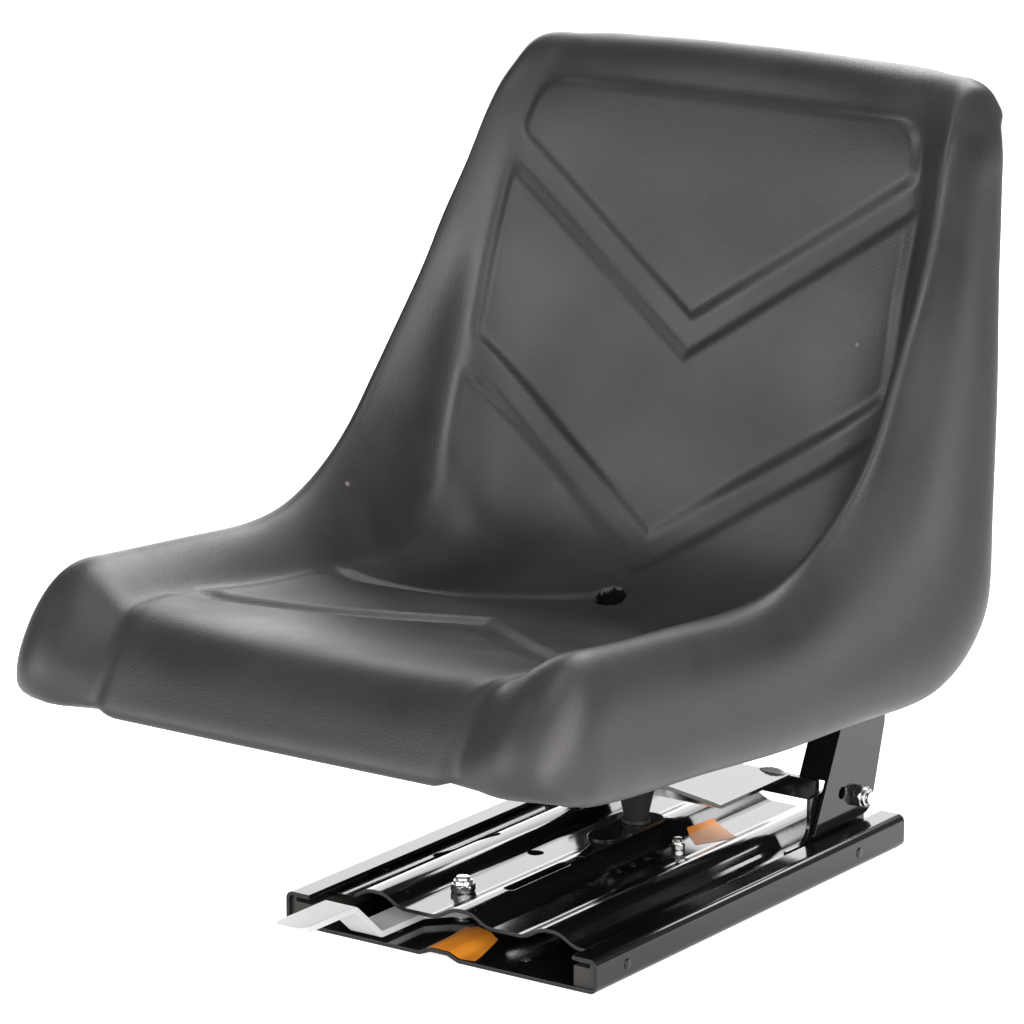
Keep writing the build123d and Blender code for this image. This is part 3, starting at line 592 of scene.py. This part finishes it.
# %% Cushions and the drain
CUSHION = 5.0
SKIRT_SOFTNESS = 0.9
DRAIN_Y = 10
DRAIN_DEEPEST = 12
DRAIN_CORE, DRAIN_RIM = 8, 13
SKIRT_FRONT = (365, 400)
CUSHION_EDGE = (-1.5, 8.0)
BOLSTER_FADE, TOP_FADE = (0, 46), (0, 34)
SHALLOW, SHALLOW_Y, SHALLOW_Z = 0.5, (-75, -35), (-330, -290)
SEAT_LEVEL = (-262, -250)
on_skirt = ease(-y, *SKIRT_FRONT)
drop = CUSHION * (1 - ease(clear / (1 + SKIRT_SOFTNESS * on_skirt), *CUSHION_EDGE))
drop *= 1 - ease(-to_border, *BOLSTER_FADE)
drop *= 1 - ease(-to_top, *TOP_FADE)
drop *= 1 - SHALLOW * ease(y, *SHALLOW_Y) * ease(-z, *SHALLOW_Z)
from_drain = np.hypot(x, y - DRAIN_Y)
on_seat = ease(-z, *SEAT_LEVEL)
drain_depth = on_seat * DRAIN_DEEPEST * (1 - ease(from_drain, DRAIN_CORE, DRAIN_RIM))
drop = drop + drain_depth
pan -= facing * drop[..., None]
print("deepest drop", round(float(drop.max()), 1), "mm")

# %% [markdown]
# ## Underside of the pan
# Below, the pan has a lip all round and a recess that takes the steel frame and hollows out the back. A
# second grid makes it, and not a cut, because it can share the rim's points with the first one. The recess
# has a flat floor and a leaning wall, and where they meet the corner is rounded.

# %% Underside
RECESS_HALF = 186.0
RECESS_INSIDE, RECESS_OUTSIDE = 7, 5
UNDER_COLUMNS = 64
WALL_FOOT_Y = 88
WALL_SLOPE = 134 / 396
CORNER_ROUND, CORNER_FILL = 22, 1.5
CORNER_REACH = 40
RECESS_TOP, RECESS_FRONT = (380, 398), (-250, -200)
floor_rise = -rim_z / lean_z
wall_rise = (rim_y - WALL_FOOT_Y - WALL_SLOPE * rim_z) / (WALL_SLOPE * lean_z - lean_y)
deep = np.maximum(np.maximum(floor_rise, wall_rise), 0)
apart = np.sqrt((floor_rise - wall_rise) ** 2 + CORNER_ROUND**2)
rounded = 0.5 * (floor_rise + wall_rise + apart) - CORNER_FILL
by_corner = (floor_rise > -CORNER_REACH) & (wall_rise > -CORNER_REACH)
deep = np.where(by_corner, np.maximum(rounded, 0), deep)
head = rim_z + deep * lean_z
deep *= 1 - ease(head, *RECESS_TOP)
deep *= ease(rim_y, *RECESS_FRONT)
under_x = flat[:, 0:1, 0] * (1 - 2 * np.linspace(0, 1, UNDER_COLUMNS))
in_recess = 1 - ease(np.abs(under_x), RECESS_HALF - RECESS_INSIDE, RECESS_HALF + RECESS_OUTSIDE)
under_rise = deep * in_recess
under = np.empty((ROWS, UNDER_COLUMNS, 3))
under[..., 0] = under_x
under[..., 1] = rim_y + under_rise * lean_y
under[..., 2] = CARRIER_TOP + rim_z + under_rise * lean_z
print("recess is", round(float(deep.max())), "mm deep at most")

# %% Whole pan
# Faces whose drain depth averages more than this many millimetres get the near-black painted shade.
DRAIN_PAINTED_SHADE_FROM = 2.5
points = [tuple(p) for p in (pan * MM).reshape(-1, 3)]
top_index = np.arange(ROWS * COLUMNS).reshape(ROWS, COLUMNS)
low_index = np.empty((ROWS, UNDER_COLUMNS), int)
low_index[:, 0] = top_index[:, 0]
low_index[:, -1] = top_index[:, -1]
low_index[:, 1:-1] = np.arange(ROWS * (UNDER_COLUMNS - 2)).reshape(ROWS, -1) + len(points)
points += [tuple(p) for p in (under[:, 1:-1] * MM).reshape(-1, 3)]
faces = []
for grid, flipped in ((top_index, False), (low_index, True)):
    quads = np.stack([grid[:-1, :-1], grid[:-1, 1:], grid[1:, 1:], grid[1:, :-1]], -1).reshape(-1, 4)
    faces += (quads[:, ::-1] if flipped else quads).tolist()
for end in (0, -1):
    faces.append(top_index[end].tolist() + low_index[end, -2:0:-1].tolist())
pan_mesh = bpy.data.meshes.new("seat_pan")
pan_mesh.from_pydata(points, [], faces)
shape = bmesh.new()
shape.from_mesh(pan_mesh)
bmesh.ops.recalc_face_normals(shape, faces=shape.faces)
for face in shape.faces:
    face.smooth = len(face.verts) == 4
shape.to_mesh(pan_mesh)
shape.free()
pan_mesh.materials.append(seat_skin)
pan_mesh.materials.append(drain_painted_shade)
# The deeper faces of the drain take the second finish, which is painted shade and not the colour of the foam.
corner_sum = drain_depth[:-1, :-1] + drain_depth[1:, :-1] + drain_depth[:-1, 1:] + drain_depth[1:, 1:]
for index in np.nonzero((corner_sum / 4).ravel() > DRAIN_PAINTED_SHADE_FROM)[0]:
    pan_mesh.polygons[index].material_index = 1
seat_pan = bpy.data.objects.new("seat_pan", pan_mesh)
scene.collection.objects.link(seat_pan)
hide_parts("seat_shell")
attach(seat_pan, "seat")
print("pan faces", len(pan_mesh.polygons))

# %% [markdown]
# ## Lock nuts
# The nuts are what sets the scale in the picture, so they get their true form: a hexagon whose corners are
# turned off at both ends, a round collar with a nylon ring, and the threaded end of the bolt in the middle.
# A screw modifier could wind a real helix. At this size rings that swell and shrink look much the same, so
# every nut is a stack of rings. Its place, width and height are read from the solid that it replaces.

# %% Turned pieces
AROUND = 72
angles = np.linspace(0, 2 * math.pi, AROUND, endpoint=False)


def node_box(node):
    """Lowest and highest corner of a solid, in millimetres."""
    corners = np.array([v.co for v in nodes[node].data.vertices]) / MM
    return corners.min(axis=0), corners.max(axis=0)


def link_piece(name, points, faces, material, body, crease=0.6):
    """A mesh piece from points in millimetres, shaded smooth up to the crease angle, that rides on a body."""
    mesh = bpy.data.meshes.new(name)
    mesh.from_pydata([tuple(p) for p in np.array(points) * MM], [], faces)
    shape = bmesh.new()
    shape.from_mesh(mesh)
    bmesh.ops.recalc_face_normals(shape, faces=shape.faces)
    for face in shape.faces:
        face.smooth = True
    shape.to_mesh(mesh)
    shape.free()
    mesh.set_sharp_from_angle(angle=crease)
    mesh.materials.append(material)
    piece = bpy.data.objects.new(name, mesh)
    scene.collection.objects.link(piece)
    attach(piece, body)
    return piece


def turned(name, rings, foot, axis, material, body, crease=0.6):
    """A closed piece from rings (height, radii) stacked along an axis from its foot."""
    axis = Vector(axis)
    side = axis.orthogonal().normalized()
    other = axis.cross(side)
    points = []
    for height, radii in rings:
        centre = Vector(foot) + axis * height
        for angle, radius in zip(angles, np.broadcast_to(radii, AROUND)):
            points.append(centre + (side * math.cos(angle) + other * math.sin(angle)) * radius)
    faces = []
    for i in range(len(rings) - 1):
        for j in range(AROUND):
            k = (j + 1) % AROUND
            faces.append((i * AROUND + j, i * AROUND + k, (i + 1) * AROUND + k, (i + 1) * AROUND + j))
    faces.append(tuple(range(AROUND)))
    faces.append(tuple(range(len(points) - AROUND, len(points))))
    return link_piece(name, points, faces, material, body, crease)


print("turned pieces have", AROUND, "points around")

# %% Lock nuts and bolt ends
BIG_THREAD, SMALL_THREAD = 5, 3
BOLT_TAIL = 2.5
THREAD_SUNK = 1.2
THREAD_ROOT, THREAD_CREST = 0.06, 0.38
nylon = finish(
    "nylon ring", dark=(0.50, 0.50, 0.49), light=(0.62, 0.62, 0.60), speck=(0.40, 0.40, 0.38),
    rough=(0.35, 0.5), scales=(60, 900, 300), bump=(0.05, 0.0002),
)


def nut_rings(flats, height, thread):
    """Rings of a lock nut: a hexagon with turned corners, then the collar and the lip round its ring."""
    hexagon = flats / 2 / np.cos((angles % (math.pi / 3)) - math.pi / 6)
    turned_off = np.minimum(hexagon, 0.50 * flats)
    half_off = np.minimum(hexagon, 0.54 * flats)
    top = 0.68 * height
    collar = 0.445 * flats
    return [
        (0, turned_off), (0.03 * flats, half_off), (0.06 * flats, hexagon), (top - 0.06 * flats, hexagon),
        (top - 0.03 * flats, half_off), (top, turned_off), (top + 0.2, collar + 0.3), (top + 0.7, collar),
        (height - 0.8, collar), (height - 0.25, collar - 0.35), (height, collar - 1.0),
        (height - 0.1, thread + 1.3), (height - 0.6, thread + 1.0),
    ]


def thread_rings(height, thread, tail):
    """Rings of a bolt's end, which swell and shrink once in each pitch."""
    pitch = 0.26 * thread
    foot = height - THREAD_SUNK
    count = int((tail + THREAD_SUNK) / pitch * 2)
    rings = [(foot, thread + 0.1)]
    for i in range(1, count):
        rings.append((foot + i * pitch / 2, thread + (THREAD_CREST if i % 2 else THREAD_ROOT)))
    return rings + [(height + tail + 0.05, thread + 0.1), (height + tail + 0.3, thread - 0.7)]


def lock_nut(node, axis, thread, body):
    """A nut in place of its solid, with a nylon ring and the bolt's threaded end in it."""
    low, high = node_box(node)
    size = high - low
    lengthwise = np.abs(axis) > 0
    height = size[lengthwise][0]
    flats = size[~lengthwise].min()
    foot = (low + high) / 2 - np.array(axis) * size / 2
    nut = turned(node + "_dressed", nut_rings(flats, height, thread), foot, axis, zinc_plate, body)
    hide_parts(node)
    nylon_rings = [
        (height - 1.0, thread + 1.5), (height - 0.05, thread + 1.45),
        (height - 0.05, thread + 0.5), (height - 1.0, thread + 0.45),
    ]
    ring = turned(node + "_nylon", nylon_rings, foot, axis, nylon, body)
    screw = turned(node + "_thread", thread_rings(height, thread, BOLT_TAIL), foot, axis, zinc_plate, body)


lock_nut("lever_pivot_nut", (0, 0, 1), BIG_THREAD, "slide")
lock_nut("stop_nut", (0, 0, 1), SMALL_THREAD, "slide")
lock_nut("pivot_nut_right", (1, 0, 0), BIG_THREAD, "slide")
lock_nut("pivot_nut_left", (-1, 0, 0), BIG_THREAD, "slide")
print("lock nuts dressed: 4")

# %% [markdown]
# ## Small things on the sheet metal
# Pins with domed heads hold the gliders in the channels, the index holes have a small rolled edge, and a weld
# joins the support arm to the crossbar. All three are turned forms, so the rings of the nuts serve again. A
# ray that is cast down beside each hole finds the sheet's top, so the edges sit on the real surface.

# %% Pin heads
PIN_PROFILE = [(0, 4.2), (0.5, 4.1), (0.9, 3.4), (1.15, 2.2), (1.22, 0.6)]
PIN_SUNK = 0.05
channel_side = node_box("base_plate")[1][0] - PIN_SUNK
for side, side_name in ((-1, "left"), (1, "right")):
    for end_name in ("front", "rear"):
        low, high = node_box(f"glider_{end_name}_{side_name}")
        middle = (low + high) / 2
        head = turned(
            f"pin_head_{side_name}_{end_name}", PIN_PROFILE, (side * channel_side, middle[1], middle[2]),
            (side, 0, 0), black_paint, "base",
        )
print("pin heads stand at", round(channel_side, 2), "mm from the middle")

# %% Hole edges
HOLE_PROFILE = [(-0.2, 2.0), (0.3, 2.15), (0.55, 2.6), (0.35, 3.1), (-0.2, 3.4)]
HOLE_COUNT = 6
HOLE_X, FIRST_HOLE_Y, HOLE_PITCH = 30, -60, 19.6
BESIDE_HOLE = 3.2
ABOVE_SLIDE = 60
DOWN = Vector((0, 0, -1))


def surface_tree(node):
    """Search tree of a node's mesh in millimetres."""
    mesh = nodes[node].data
    corners = [v.co / MM for v in mesh.vertices]
    return BVHTree.FromPolygons(corners, [tuple(p.vertices) for p in mesh.polygons])


slide_sheet = surface_tree("slide_plate")
base_sheet = surface_tree("base_plate")
for i in range(HOLE_COUNT):
    hole_y = FIRST_HOLE_Y + HOLE_PITCH * i
    hit = slide_sheet.ray_cast(Vector((HOLE_X + BESIDE_HOLE, hole_y, ABOVE_SLIDE)), DOWN)[0]
    lip = turned(
        f"hole_edge_{i + 1}", HOLE_PROFILE, (HOLE_X, hole_y, hit.z), (0, 0, 1), black_paint, "slide"
    )
print("hole edges made:", HOLE_COUNT)

# %% Weld
WELD_START = (60, 136.0, 71.6)
WELD_LENGTH, WELD_RADIUS = 24, 4.0
WELD_RINGS = 26
RIPPLE = 0.05
weld_rings = []
for i in range(WELD_RINGS):
    t = i / (WELD_RINGS - 1)
    swell = math.sin(math.pi * min(max(t, 0.02), 0.98)) ** 0.4
    beads = 1 + RIPPLE * math.sin(30 * t)
    lumps = 1 + RIPPLE * np.sin(3 * angles + 9 * t)
    weld_rings.append((WELD_LENGTH * t, WELD_RADIUS * swell * beads * lumps))
weld = turned("arm_weld", weld_rings, WELD_START, (1, 0, 0), weld_bead, "seat", crease=1.4)
print("weld is", WELD_LENGTH, "mm long")

# %% [markdown]
# ## Orange films
# Two plain orange films are stuck on the sheets. A flat card would cut into the folds, so each film is a
# fine grid that is dropped onto the sheet under it, point by point. One corner of the front film lifts a bit.

# %% Orange films
FILM_ALONG, FILM_ACROSS = 28, 22
FILM_TOP, FILM_THICK = 0.3, 0.15
LIFT_FROM = 1.55


def film(name, corners, sheet, start_z, curl, body):
    """Thin film laid on a sheet inside four corners, with one corner lifted by the curl."""
    a, b, c, d = [np.array(p, float) for p in corners]
    upper = []
    for i in range(FILM_ALONG + 1):
        for j in range(FILM_ACROSS + 1):
            u, v = i / FILM_ALONG, j / FILM_ACROSS
            at = (1 - u) * ((1 - v) * a + v * d) + u * ((1 - v) * b + v * c)
            hit = sheet.ray_cast(Vector((at[0], at[1], start_z)), DOWN)[0]
            lift = curl * max(0, u + v - LIFT_FROM) ** 2
            upper.append((at[0], at[1], hit.z + FILM_TOP + lift))
    lower = [(p[0], p[1], p[2] - FILM_THICK) for p in upper]
    width = FILM_ACROSS + 1
    total = len(upper)
    faces = []
    for i in range(FILM_ALONG):
        for j in range(FILM_ACROSS):
            q = (i * width + j, (i + 1) * width + j, (i + 1) * width + j + 1, i * width + j + 1)
            faces.append(q)
            faces.append(tuple(k + total for k in reversed(q)))
    rim = list(range(width))
    rim += [i * width + FILM_ACROSS for i in range(1, FILM_ALONG + 1)]
    rim += [FILM_ALONG * width + j for j in range(FILM_ACROSS - 1, -1, -1)]
    rim += [i * width for i in range(FILM_ALONG - 1, 0, -1)]
    for k, start in enumerate(rim):
        end = rim[(k + 1) % len(rim)]
        faces.append((start, end, end + total, start + total))
    piece = link_piece(name, upper + lower, faces, orange_film, body, crease=0.9)


UNDER_SLIDE = 16
floor_film_corners = [(-22, -153), (17, -166), (33, -218), (-12, -218)]
slide_film_corners = [(18, 94), (20, 131), (59, 104), (42, 70)]
film("floor_film", floor_film_corners, base_sheet, start_z=UNDER_SLIDE, curl=6, body="base")
film("slide_film", slide_film_corners, slide_sheet, start_z=ABOVE_SLIDE, curl=0, body="slide")
print("films laid: 2")
